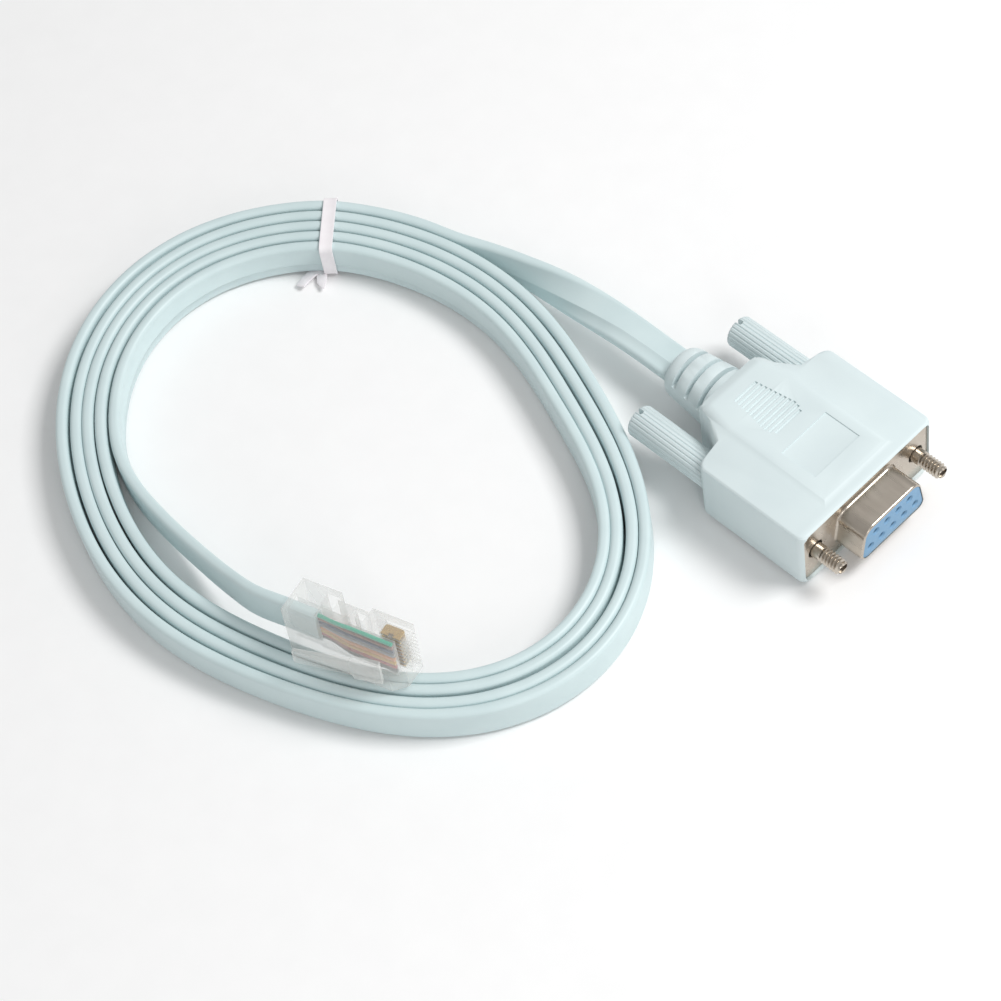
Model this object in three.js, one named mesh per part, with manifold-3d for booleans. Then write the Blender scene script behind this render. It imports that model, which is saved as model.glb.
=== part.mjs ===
// Serial console cable: a moulded nine-way D-sub socket connector, a flat eight-core cable
// tied in an oval coil, and a clear eight-way modular plug. Millimetres, +Z up, table at z = 0.
// +X is the direction in which the D-sub connector is pushed home.
import * as THREE from "three";
import { mergeVertices } from "three/addons/utils/BufferGeometryUtils.js";
import Module from "manifold-3d";

const wasm = await Module();
wasm.setup();

// Clearances
const fitGap = 0.3;
const smallGap = 0.15;

// Flat cable
const cableWidth = 7.0;
const cableThickness = 2.1;
const cableCorner = 0.7;

// Coil: an oval spiral of flat cable standing on its edge
const coilCentre = [-72.4, -49.8];
const coilRadius = 52.4;
const coilOval = [
  { waves: 1, height: 2.0, angle: 170 },
  { waves: 2, height: 7.6, angle: -6 },
  { waves: 3, height: 1.0, angle: 5 },
  { waves: 4, height: 1.1, angle: -3 },
];
const coilPitch = 2.45;
const coilStartAngle = 115;
const coilEndAngle = 214;
const coilLaps = 4;
const coilStepsPerLap = 48;
const degreesPerLap = 360;
const turnGrooveWidth = 0.4;
const turnGrooveDepth = 0.5;

// Hood: moulded body of the D-sub connector, with its neck and slotted strain relief
const hoodWidth = 32.4;
const hoodLength = 23.6;
const hoodHeight = 14.6;
const hoodRim = 0.6;
const hoodEdgeRound = 0.7;
const hoodCornerRadius = 1.6;
const plateauRise = 0.6;
const plateauHalfWidth = 8.7;
const plateauSlope = 1.3;
const plateauSetback = 1.0;
const neckRootHalfWidth = 10.8;
const neckHalfWidth = 7.0;
const neckTaperLength = 5.4;
const neckStraightLength = 2.0;
const reliefLength = 11.4;
const reliefRootRadius = 6.0;
const reliefTipRadius = 4.8;
const reliefLipRadius = 4.2;
const reliefSlotCount = 3;
const reliefSlotWidth = 0.9;
const reliefSlotPitch = 3.2;
const reliefFirstSlot = 1.6;
const reliefSpine = 3.2;

// D-sub shell: pressed steel flange and D-shaped shroud
const flangeWidth = 30.81;
const flangeHeight = 12.5;
const flangeThickness = 0.8;
const flangeCornerRadius = 1.4;
const shroudWidth = 16.33;
const shroudHeight = 7.9;
const shroudReach = 5.9;
const shroudWall = 0.4;
const shroudSlopeDegrees = 10;
const shroudCornerRadius = 2.0;

// Insulator and socket contacts
const insulatorSetback = 0.1;
const insulatorDepth = 12.5;
const contactPitch = 2.77;
const contactRowSpacing = 2.84;
const longRowContacts = 5;
const shortRowContacts = 4;
const contactBore = 1.02;
const contactOuter = 1.5;
const contactLength = 7.0;
const contactRecess = 0.7;
const entryHole = 1.2;

// Jackscrews and their thumb grips
const screwSpacing = 24.99;
const screwReach = 6.1;
const screwShaft = 2.3;
const screwThread = 2.84;
const screwThreadPitch = 0.635;
const screwThreadDepth = 0.35;
const screwCollarLength = 2.0;
const screwHoleInFlange = 3.4;
const gripDiameter = 6.0;
const gripReach = 40.6;
const gripDomeLength = 0.8;
const gripInsertion = 3.0;
const gripBoreDepth = 7.0;
const driverSlotWidth = 0.9;
const driverSlotDepth = 1.4;

// Twist tie round the coil
const tieAngle = 142.0;
const tieSkew = 6;
const tieWidth = 2.4;
const tieThickness = 0.5;
const tieTails = [
  { length: 5.6, turn: 142 },
  { length: 3.6, turn: 188 },
];

// Modular plug, lying on its side with its latch towards the viewer
const plugLength = 21.46;
const plugWidth = 11.68;
const plugHeight = 6.5;
const plugRearRise = 0.6;
const plugRearBlock = 7.6;
const plugWaistDepth = 0.95;
const plugWaistStart = 8.3;
const plugWaistEnd = 13.7;
const plugNoseChamfer = 2.1;
const plugEdgeRound = 0.35;
const plugRear = [-53.0, -80.2, 12.7];
const plugYaw = 16.3;
const plugPitch = -2.35;
const plugRoll = -4.1;
const plugCavityDepth = 5.0;
const wireTunnelEnd = 19.6;
const bladeCount = 8;
const bladePitch = 1.02;
const bladeThickness = 0.35;
const bladeStart = 16.3;
const bladeLength = 3.6;
const bladeDepth = 2.0;
const bladeRecess = 0.5;
const bladeSlotWidth = 0.62;
const wireDiameter = 0.7;
const wireLayer = -0.55;
const clampWindow = { start: 4.4, length: 2.4, floor: 1.6, width: 7.6 };
const pressWindow = { start: 11.2, length: 1.6, floor: 1.2, width: 8.6 };

// Latch of the modular plug
const latchRoot = 18.6;
const latchBaseLength = 4.9;
const latchBaseWidth = 5.4;
const latchLeverLength = 10.4;
const latchLeverRootWidth = 3.8;
const latchTipWidth = 3.0;
const latchThickness = 0.9;
const latchAngle = 11.5;

// Places worked out from the sizes above
const axisHeight = hoodHeight / 2;
const screwOffset = screwSpacing / 2;
const shoulderHeight = hoodHeight - 2 * plateauRise;
const neckEnd = hoodLength + neckTaperLength + neckStraightLength;
const reliefEnd = neckEnd + reliefLength;
const flangeBack = -flangeThickness;
const insulatorFront = shroudReach - insulatorSetback;
const gripFront = hoodLength - gripInsertion;
const rearReach = Math.max(reliefEnd, gripReach);
const frontReach = Math.max(screwReach, shroudReach);
const centring = (rearReach - frontReach) / 2;
const coilTurned = degreesPerLap * coilLaps + coilEndAngle - coilStartAngle;

// Free cable between the coil and its two ends, as x, y, z and the lean of the flat side.
// A lean of 90 lies flat and 0 stands on edge.
const serialLeadRoute = [
  [-(reliefEnd + fitGap), 0.0, axisHeight, 90],
  [-49.0, 0.1, 7.2, 90],
  [-56.0, 0.3, 6.7, 84],
  [-63.0, 0.4, 5.9, 66],
  [-71.0, 0.2, 5.0, 38],
  [-79.0, -0.5, 4.2, 14],
  [-86.0, -1.7, 3.7, 3],
];
const plugLeadRoute = [
  [-103.4, -77.0, 3.6, 0],
  [-97.2, -78.9, 3.8, 0],
  [-89.5, -80.1, 4.4, 0],
  [-79.3, -81.0, 5.8, 0],
  [-69.1, -81.8, 8.4, -1],
  [-61.5, -82.0, 10.9, -3],
];

const part = new THREE.Group();
const cable = new THREE.Group();
cable.position.x = centring;
part.add(cable);

function finish(color, roughness, metalness) {
  return new THREE.MeshStandardMaterial({ color, roughness, metalness });
}

const paleAquaPvc = finish(0xbfdfe2, 0.45, 0.0);
const nickelPlate = finish(0xb9b0a6, 0.28, 1.0);
const bluePlastic = finish(0x5f97cf, 0.5, 0.0);
const goldPlate = finish(0xd2a850, 0.3, 1.0);
const whitePlastic = finish(0xf2f4f4, 0.5, 0.0);
const clearPlastic = finish(0xe9ecea, 0.15, 0.0);

function solidOf(geometry) {
  const bare = geometry.clone();
  bare.deleteAttribute("normal");
  bare.deleteAttribute("uv");
  const merged = mergeVertices(bare, 1e-4);
  return new wasm.Manifold(new wasm.Mesh({
    numProp: 3,
    vertProperties: new Float32Array(merged.attributes.position.array),
    triVerts: new Uint32Array(merged.index.array),
  }));
}

function geometryOf(solid) {
  const mesh = solid.getMesh();
  const geometry = new THREE.BufferGeometry();
  geometry.setAttribute("position", new THREE.BufferAttribute(mesh.vertProperties, 3));
  geometry.setIndex(new THREE.BufferAttribute(mesh.triVerts, 1));
  geometry.computeVertexNormals();
  return geometry;
}

function addPiece(parent, name, geometry, material) {
  const mesh = new THREE.Mesh(geometry, material);
  mesh.name = name;
  parent.add(mesh);
  return mesh;
}

// Turns a shape drawn in y and z, and extruded along its own normal, to run along +X.
function alongX(geometry, start) {
  const turn = new THREE.Matrix4().makeBasis(
    new THREE.Vector3(0, 1, 0),
    new THREE.Vector3(0, 0, 1),
    new THREE.Vector3(1, 0, 0),
  );
  return geometry.applyMatrix4(turn).translate(start, 0, 0);
}

function prismAlongX(shape, start, end) {
  const prism = new THREE.ExtrudeGeometry(shape, { depth: end - start, bevelEnabled: false, curveSegments: 4 });
  return alongX(prism, start);
}

// A round body about a line along +X: profile points are [x, radius].
function turnedAlongX(profile, sides) {
  const points = profile.map(([x, radius]) => new THREE.Vector2(radius, x));
  const body = new THREE.LatheGeometry(points, sides);
  return body.rotateZ(-Math.PI / 2);
}

function boxBetween(low, high) {
  const size = high.map((value, axis) => value - low[axis]);
  const box = new THREE.BoxGeometry(...size);
  return box.translate(...high.map((value, axis) => (value + low[axis]) / 2));
}

// A straight-sided outline through the given corners, each with its own corner radius.
function roundedOutline(corners) {
  const shape = new THREE.Shape();
  corners.forEach(([x, y, radius], index) => {
    const before = corners[(index + corners.length - 1) % corners.length];
    const after = corners[(index + 1) % corners.length];
    const corner = new THREE.Vector2(x, y);
    const toBefore = new THREE.Vector2(before[0] - x, before[1] - y).normalize();
    const toAfter = new THREE.Vector2(after[0] - x, after[1] - y).normalize();
    const half = Math.acos(THREE.MathUtils.clamp(toBefore.dot(toAfter), -1, 1)) / 2;
    const cut = radius / Math.tan(half);
    const start = corner.clone().addScaledVector(toBefore, cut);
    const end = corner.clone().addScaledVector(toAfter, cut);
    if (index === 0) {
      shape.moveTo(start.x, start.y);
    } else {
      shape.lineTo(start.x, start.y);
    }
    if (radius > 0) {
      shape.quadraticCurveTo(x, y, end.x, end.y);
    }
  });
  shape.closePath();
  return shape;
}

function roundedRectangle(width, height, radius) {
  return roundedOutline([
    [-width / 2, -height / 2, radius],
    [width / 2, -height / 2, radius],
    [width / 2, height / 2, radius],
    [-width / 2, height / 2, radius],
  ]);
}

// The keyed outline of a D-sub shroud, its wide side downwards.
function dOutline(inset) {
  const low = shroudWidth / 2 - inset;
  const height = shroudHeight / 2 - inset;
  const slope = Math.tan(THREE.MathUtils.degToRad(shroudSlopeDegrees)) * 2 * height;
  const radius = shroudCornerRadius - inset;
  return roundedOutline([
    [-low, -height, radius],
    [low, -height, radius],
    [low - slope, height, radius],
    [-low + slope, height, radius],
  ]);
}

function bevelledSlab(shape, height, slope, rise) {
  const slab = new THREE.ExtrudeGeometry(shape, {
    depth: height - 2 * rise,
    bevelEnabled: true,
    bevelThickness: rise,
    bevelSize: slope,
    bevelOffset: -slope,
    bevelSegments: 1,
    curveSegments: 4,
  });
  return slab.translate(0, 0, axisHeight - height / 2 + rise);
}

function mirroredOutline(halfPoints) {
  const otherHalf = halfPoints.map(([x, y, radius]) => [x, -y, radius]).reverse();
  return roundedOutline([...halfPoints, ...otherHalf]);
}

function makeHood() {
  const shoulders = mirroredOutline([
    [hoodRim, hoodWidth / 2, hoodCornerRadius],
    [-hoodLength + hoodRim, hoodWidth / 2, hoodCornerRadius],
    [-hoodLength, neckRootHalfWidth, 0],
    [-(hoodLength + neckTaperLength), neckHalfWidth + 0.4, 0],
    [-neckEnd, neckHalfWidth, hoodCornerRadius],
  ]);
  const plateau = mirroredOutline([
    [-plateauSetback, plateauHalfWidth, 0],
    [-hoodLength, plateauHalfWidth, 0],
    [-neckEnd, neckHalfWidth, hoodCornerRadius],
  ]);
  let solid = solidOf(bevelledSlab(shoulders, shoulderHeight, hoodEdgeRound, hoodEdgeRound));
  solid = solid.add(solidOf(bevelledSlab(plateau, hoodHeight, plateauSlope, plateauRise)));
  solid = solid.add(makeStrainRelief());
  solid = solid.subtract(solidOf(flangeRecess()));
  const pocket = prismAlongX(dOutline(-fitGap), insulatorFront - insulatorDepth - fitGap, hoodRim);
  solid = solid.subtract(solidOf(pocket.translate(0, 0, axisHeight)));
  for (const side of [-1, 1]) {
    const channel = turnedAlongX([
      [-hoodLength - 2, 0],
      [-hoodLength - 2, gripDiameter / 2 + fitGap],
      [-gripFront + fitGap, gripDiameter / 2 + fitGap],
      [-gripFront + fitGap, screwHoleInFlange / 2],
      [hoodRim + 1, screwHoleInFlange / 2],
      [hoodRim + 1, 0],
    ], 16);
    solid = solid.subtract(solidOf(channel.translate(0, side * screwOffset, axisHeight)));
  }
  return geometryOf(solid);
}

function flangeRecess() {
  const pocket = roundedRectangle(flangeWidth + 2 * smallGap, flangeHeight + 2 * smallGap, flangeCornerRadius);
  return prismAlongX(pocket, flangeBack - smallGap, hoodRim + 1).translate(0, 0, axisHeight);
}

// The slotted sleeve that keeps the cable from kinking where it leaves the hood.
function makeStrainRelief() {
  const sleeve = turnedAlongX([
    [-reliefEnd, 0],
    [-reliefEnd, reliefLipRadius],
    [-reliefEnd + 0.7, reliefTipRadius],
    [-neckEnd, reliefRootRadius],
    [-neckEnd + 2, reliefRootRadius],
    [-neckEnd + 2, 0],
  ], 24);
  let solid = solidOf(sleeve.translate(0, 0, axisHeight));
  for (let slot = 0; slot < reliefSlotCount; slot += 1) {
    const start = -neckEnd - reliefFirstSlot - slot * reliefSlotPitch;
    for (const side of [-1, 1]) {
      const reach = side * (reliefRootRadius + 1);
      const floor = side * (reliefSpine / 2);
      const low = [start - reliefSlotWidth, -reliefRootRadius - 1, axisHeight + Math.min(reach, floor)];
      const high = [start, reliefRootRadius + 1, axisHeight + Math.max(reach, floor)];
      solid = solid.subtract(solidOf(boxBetween(low, high)));
    }
  }
  return solid;
}

function makeShell() {
  const flange = prismAlongX(roundedRectangle(flangeWidth, flangeHeight, flangeCornerRadius), flangeBack, 0);
  let solid = solidOf(flange).add(solidOf(prismAlongX(dOutline(0), flangeBack, shroudReach)));
  solid = solid.subtract(solidOf(prismAlongX(dOutline(shroudWall), flangeBack - 1, shroudReach + 1)));
  for (const side of [-1, 1]) {
    const hole = turnedAlongX([
      [flangeBack - 1, 0],
      [flangeBack - 1, screwHoleInFlange / 2],
      [1, screwHoleInFlange / 2],
      [1, 0],
    ], 16);
    solid = solid.subtract(solidOf(hole.translate(0, side * screwOffset, 0)));
  }
  return geometryOf(solid).translate(0, 0, axisHeight);
}

// Contact places seen from the front: the long row is the lower one.
function contactPlaces() {
  const places = [];
  const addRow = (count, height) => {
    for (let index = 0; index < count; index += 1) {
      places.push([(index - (count - 1) / 2) * contactPitch, height]);
    }
  };
  addRow(longRowContacts, -contactRowSpacing / 2);
  addRow(shortRowContacts, contactRowSpacing / 2);
  return places;
}

function makeInsulator() {
  const back = insulatorFront - insulatorDepth;
  let solid = solidOf(prismAlongX(dOutline(shroudWall + smallGap), back, insulatorFront));
  const wide = contactOuter / 2 + smallGap;
  for (const [y, z] of contactPlaces()) {
    const bore = turnedAlongX([
      [insulatorFront - contactRecess - contactLength - smallGap, 0],
      [insulatorFront - contactRecess - contactLength - smallGap, wide],
      [insulatorFront - contactRecess + smallGap, wide],
      [insulatorFront - contactRecess + smallGap, entryHole / 2],
      [insulatorFront + 1, entryHole / 2],
      [insulatorFront + 1, 0],
    ], 12);
    solid = solid.subtract(solidOf(bore.translate(0, y, z)));
  }
  return geometryOf(solid).translate(0, 0, axisHeight);
}

// One socket contact: a turned sleeve with a blind bore that takes the mating pin.
function makeSocketContact() {
  const front = insulatorFront - contactRecess;
  return turnedAlongX([
    [front - contactLength, 0],
    [front - contactLength, contactOuter / 2],
    [front, contactOuter / 2],
    [front, contactBore / 2],
    [front - contactLength + 1, contactBore / 2],
    [front - contactLength + 1, 0],
  ], 12);
}

function makeJackscrew() {
  const core = screwThread / 2 - screwThreadDepth;
  const threadStart = screwCollarLength;
  const ridges = Math.floor((screwReach - threadStart) / screwThreadPitch);
  const profile = [
    [-gripFront - gripBoreDepth + fitGap + gripDomeLength, 0],
    [-gripFront - gripBoreDepth + fitGap + gripDomeLength, screwShaft / 2],
    [threadStart, screwShaft / 2],
  ];
  for (let ridge = 0; ridge < ridges; ridge += 1) {
    const start = threadStart + ridge * screwThreadPitch;
    profile.push([start + 0.1 * screwThreadPitch, core]);
    profile.push([start + 0.5 * screwThreadPitch, screwThread / 2]);
    profile.push([start + 0.8 * screwThreadPitch, screwThread / 2]);
  }
  profile.push([screwReach, core]);
  profile.push([screwReach, 0]);
  return turnedAlongX(profile, 14);
}

function makeThumbGrip() {
  const radius = gripDiameter / 2;
  const body = turnedAlongX([
    [-gripReach, 0],
    [-gripReach, radius * 0.7],
    [-gripReach + gripDomeLength, radius],
    [-gripFront, radius],
    [-gripFront, screwShaft / 2 + fitGap],
    [-gripFront - gripBoreDepth, screwShaft / 2 + fitGap],
    [-gripFront - gripBoreDepth, 0],
  ], 20);
  const low = [-gripReach - 1, -driverSlotWidth / 2, -radius - 1];
  const high = [-gripReach + driverSlotDepth, driverSlotWidth / 2, radius + 1];
  return geometryOf(solidOf(body).subtract(solidOf(boxBetween(low, high))));
}

function addSerialConnector() {
  addPiece(cable, "hood", makeHood(), paleAquaPvc);
  addPiece(cable, "d_shell", makeShell(), nickelPlate);
  addPiece(cable, "insulator", makeInsulator(), bluePlastic);
  contactPlaces().forEach(([y, z], index) => {
    const contact = addPiece(cable, `socket_contact_${index + 1}`, makeSocketContact(), goldPlate);
    contact.position.set(0, y, axisHeight + z);
  });
  for (const [name, side] of [["left", 1], ["right", -1]]) {
    const screw = addPiece(cable, `jackscrew_${name}`, makeJackscrew(), nickelPlate);
    screw.position.set(0, side * screwOffset, axisHeight);
    const grip = addPiece(cable, `thumb_grip_${name}`, makeThumbGrip(), paleAquaPvc);
    grip.position.set(0, side * screwOffset, axisHeight);
  }
}

// Radius of the spiral's centre line after a total turn of so many degrees from its start.
function coilRadiusAt(turned) {
  const angle = coilStartAngle + turned;
  let radius = coilRadius - coilPitch * turned / degreesPerLap;
  for (const wave of coilOval) {
    radius += wave.height * Math.cos(THREE.MathUtils.degToRad(wave.waves * (angle - wave.angle)));
  }
  return radius;
}

function coilPoint(turned, outward) {
  const angle = THREE.MathUtils.degToRad(coilStartAngle + turned);
  const radius = coilRadiusAt(turned) + outward;
  return new THREE.Vector2(coilCentre[0] + radius * Math.cos(angle), coilCentre[1] + radius * Math.sin(angle));
}

function spiralPoints(from, to, outward) {
  const count = Math.round((to - from) / degreesPerLap * coilStepsPerLap);
  return Array.from({ length: count + 1 }, (_, step) => coilPoint(from + (to - from) * step / count, outward));
}

function makeCoil() {
  const ring = new THREE.Shape(spiralPoints(0, degreesPerLap, cableThickness / 2));
  ring.holes.push(new THREE.Path(spiralPoints(coilTurned - degreesPerLap, coilTurned, -cableThickness / 2)));
  let solid = solidOf(new THREE.ExtrudeGeometry(ring, { depth: cableWidth, bevelEnabled: false }));
  const between = coilPitch / 2;
  const groove = new THREE.Shape([
    ...spiralPoints(degreesPerLap, coilTurned, between + turnGrooveWidth / 2),
    ...spiralPoints(degreesPerLap, coilTurned, between - turnGrooveWidth / 2).reverse(),
  ]);
  const cut = new THREE.ExtrudeGeometry(groove, { depth: turnGrooveDepth + 1, bevelEnabled: false });
  solid = solid.subtract(solidOf(cut.clone().translate(0, 0, cableWidth - turnGrooveDepth)));
  solid = solid.subtract(solidOf(cut.translate(0, 0, -1)));
  const reach = coilLaps * coilPitch;
  const half = tieWidth / 2 + fitGap;
  const notch = boxBetween([-reach, -half, -1], [reach, half, tieThickness + fitGap]);
  return geometryOf(solid.subtract(solidOf(placeAtTie(notch))));
}

// Moves a shape to the middle of the bundle under the tie, nearly square to the cable there.
function placeAtTie(geometry) {
  const turned = degreesPerLap * coilLaps / 2 + tieAngle - coilStartAngle;
  const middle = coilPoint(turned, 0);
  const along = coilPoint(turned + 1, 0).sub(coilPoint(turned - 1, 0));
  const square = Math.atan2(along.y, along.x) - Math.PI / 2 + THREE.MathUtils.degToRad(tieSkew);
  return geometry.rotateZ(square).translate(middle.x, middle.y, 0);
}

function makeTwistTie() {
  const bundle = coilLaps * coilPitch + cableThickness;
  const insideWidth = bundle + 2 * fitGap;
  const insideHeight = cableWidth + tieThickness / 2;
  const outside = roundedRectangle(insideWidth + 2 * tieThickness, insideHeight + 2 * tieThickness, 1.1);
  outside.holes.push(roundedRectangle(insideWidth, insideHeight, 0.6));
  const loop = new THREE.ExtrudeGeometry(outside, { depth: tieWidth, bevelEnabled: false, curveSegments: 3 });
  loop.rotateX(Math.PI / 2).translate(0, tieWidth / 2, insideHeight / 2 + tieThickness);
  let solid = solidOf(loop);
  for (const tail of tieTails) {
    const strip = boxBetween([-0.4, -tieWidth / 2 + 0.1, 0], [tail.length, tieWidth / 2 - 0.1, tieThickness]);
    strip.rotateZ(THREE.MathUtils.degToRad(tail.turn)).translate(-insideWidth / 2, 0, 0);
    solid = solid.add(solidOf(strip));
  }
  return placeAtTie(geometryOf(solid));
}

// Sweeps the flat cable's section along a route whose points are x, y, z and lean.
function sweepFlatCable(route) {
  const path = new THREE.CatmullRomCurve3(route.map(([x, y, z]) => new THREE.Vector3(x, y, z)));
  const leans = new THREE.CatmullRomCurve3(route.map(([, , , lean]) => new THREE.Vector3(lean, 0, 0)));
  const section = new THREE.Shape();
  const halfThick = cableThickness / 2;
  const halfWide = cableWidth / 2;
  section.moveTo(-halfThick + cableCorner, -halfWide);
  section.lineTo(halfThick - cableCorner, -halfWide);
  section.lineTo(halfThick, -halfWide + cableCorner);
  section.lineTo(halfThick, halfWide - cableCorner);
  section.lineTo(halfThick - cableCorner, halfWide);
  section.lineTo(-halfThick + cableCorner, halfWide);
  section.lineTo(-halfThick, halfWide - cableCorner);
  section.lineTo(-halfThick, -halfWide + cableCorner);
  section.closePath();
  const steps = 4 * (route.length - 1);
  const bar = new THREE.ExtrudeGeometry(section, { depth: 1, steps, bevelEnabled: false });
  const position = bar.attributes.position;
  for (let index = 0; index < position.count; index += 1) {
    const along = THREE.MathUtils.clamp(position.getZ(index), 0, 1);
    const centre = path.getPoint(along);
    const tangent = path.getTangent(along);
    const side = new THREE.Vector3(0, 0, 1).cross(tangent).normalize();
    const up = tangent.clone().cross(side);
    const lean = THREE.MathUtils.degToRad(leans.getPoint(along).x);
    const thick = side.clone().multiplyScalar(Math.cos(lean)).addScaledVector(up, Math.sin(lean));
    const wide = tangent.clone().cross(thick);
    centre.addScaledVector(thick, position.getX(index)).addScaledVector(wide, position.getY(index));
    position.setXYZ(index, centre.x, centre.y, centre.z);
  }
  return bar;
}

// Where a free lead meets a radial end face of the coil, clear of that slanting face.
function leadStart(turned, way) {
  const place = coilPoint(turned, 0);
  const along = coilPoint(turned + way, 0).sub(place).normalize();
  const outward = coilPoint(turned, 1).sub(place);
  const slant = Math.abs(along.dot(outward) / along.cross(outward));
  return place.addScaledVector(along, fitGap + slant * cableThickness / 2);
}

function addCoiledCable() {
  const start = leadStart(0, -1);
  const end = leadStart(coilTurned, 1);
  const mouth = plugPoint(plugCavityDepth - fitGap);
  const entry = plugPoint(-2);
  const onEdge = cableWidth / 2;
  addPiece(cable, "cable_coil", makeCoil(), paleAquaPvc);
  addPiece(cable, "cable_lead_socket_end", sweepFlatCable([
    ...serialLeadRoute,
    [start.x, start.y, onEdge, 0],
  ]), paleAquaPvc);
  addPiece(cable, "cable_lead_plug_end", sweepFlatCable([
    [end.x, end.y, onEdge, 0],
    ...plugLeadRoute,
    [entry.x, entry.y, entry.z, plugRoll],
    [mouth.x, mouth.y, mouth.z, plugRoll],
  ]), paleAquaPvc);
  addPiece(cable, "twist_tie", makeTwistTie(), whitePlastic);
}

function plugTurn() {
  const radians = [plugRoll, plugPitch, plugYaw].map(THREE.MathUtils.degToRad);
  return new THREE.Euler(...radians, "ZYX");
}

// A point on the plug's centre line, so far in from its rear end.
function plugPoint(inward) {
  return new THREE.Vector3(inward, 0, 0).applyEuler(plugTurn()).add(new THREE.Vector3(...plugRear));
}

function bladePlaces() {
  return Array.from({ length: bladeCount }, (_, index) => (index - (bladeCount - 1) / 2) * bladePitch);
}

// Side view of the plug: a tall rear block, a lower waist and the block that holds the blades.
function plugProfile() {
  const face = plugHeight / 2;
  return roundedOutline([
    [0, -face, plugEdgeRound],
    [plugLength - plugNoseChamfer, -face, plugEdgeRound],
    [plugLength, -face + plugNoseChamfer, plugEdgeRound],
    [plugLength, face, plugEdgeRound],
    [plugWaistEnd, face, 0],
    [plugWaistEnd, face - plugWaistDepth, 0],
    [plugWaistStart, face - plugWaistDepth, 0],
    [plugRearBlock, face + plugRearRise, plugEdgeRound],
    [0, face + plugRearRise, plugEdgeRound],
  ]);
}

function makePlugBody() {
  const face = plugHeight / 2;
  const block = new THREE.ExtrudeGeometry(plugProfile(), { depth: plugWidth, bevelEnabled: false, curveSegments: 3 });
  let solid = solidOf(block.translate(0, 0, -plugWidth / 2));
  const cavity = [cableThickness / 2 + fitGap, cableWidth / 2 + fitGap];
  solid = solid.subtract(solidOf(boxBetween([-1, -cavity[0], -cavity[1]], [plugCavityDepth, cavity[0], cavity[1]])));
  const tunnel = [wireDiameter / 2 + smallGap, bladeCount * bladePitch / 2];
  const tunnelLow = [plugCavityDepth - 1, wireLayer - tunnel[0], -tunnel[1]];
  const tunnelHigh = [wireTunnelEnd, wireLayer + tunnel[0], tunnel[1]];
  solid = solid.subtract(solidOf(boxBetween(tunnelLow, tunnelHigh)));
  for (const window of [clampWindow, pressWindow]) {
    const low = [window.start, window.floor, -window.width / 2];
    const high = [window.start + window.length, face + plugRearRise + 1, window.width / 2];
    solid = solid.subtract(solidOf(boxBetween(low, high)));
  }
  for (const place of bladePlaces()) {
    const low = [bladeStart - smallGap, face - bladeRecess - bladeDepth - smallGap, place - bladeSlotWidth / 2];
    const high = [plugLength + 1, face + 1, place + bladeSlotWidth / 2];
    solid = solid.subtract(solidOf(boxBetween(low, high)));
  }
  return geometryOf(solid);
}

// The latch is moulded with the plug and bends at its root near the nose.
function makePlugLatch() {
  const base = latchBaseWidth / 2;
  const leverRoot = latchLeverRootWidth / 2;
  const tip = latchTipWidth / 2;
  const outline = roundedOutline([
    [0, -base, 0.2],
    [0, base, 0.2],
    [-latchBaseLength, base, 0.2],
    [-latchBaseLength, leverRoot, 0],
    [-latchBaseLength - latchLeverLength, tip, 0.6],
    [-latchBaseLength - latchLeverLength, -tip, 0.6],
    [-latchBaseLength, -leverRoot, 0],
    [-latchBaseLength, -base, 0.2],
  ].reverse());
  const blade = new THREE.ExtrudeGeometry(outline, { depth: latchThickness, bevelEnabled: false, curveSegments: 3 });
  return blade.rotateX(Math.PI / 2);
}

function addModularPlug() {
  const plug = new THREE.Group();
  plug.position.set(...plugRear);
  plug.rotation.copy(plugTurn());
  cable.add(plug);
  addPiece(plug, "plug_body", makePlugBody(), clearPlastic);
  const latch = addPiece(plug, "plug_latch", makePlugLatch(), clearPlastic);
  latch.position.set(latchRoot, -plugHeight / 2 - fitGap, 0);
  latch.rotation.z = THREE.MathUtils.degToRad(latchAngle);
  const face = plugHeight / 2;
  bladePlaces().forEach((place, index) => {
    const low = [bladeStart, face - bladeRecess - bladeDepth, place - bladeThickness / 2];
    const high = [bladeStart + bladeLength, face - bladeRecess, place + bladeThickness / 2];
    addPiece(plug, `plug_contact_${index + 1}`, boxBetween(low, high), goldPlate);
    const wireStart = plugCavityDepth + smallGap;
    const wire = new THREE.CylinderGeometry(wireDiameter / 2, wireDiameter / 2, wireTunnelEnd - wireStart - fitGap, 8);
    wire.rotateZ(Math.PI / 2).translate((wireStart + wireTunnelEnd - fitGap) / 2, wireLayer, place);
    addPiece(plug, `conductor_${index + 1}`, wire, whitePlastic);
  });
}

addSerialConnector();
addCoiledCable();
addModularPlug();

export default part;
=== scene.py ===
import math

import bmesh
import bpy
from mathutils import Euler, Matrix, Vector


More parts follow.
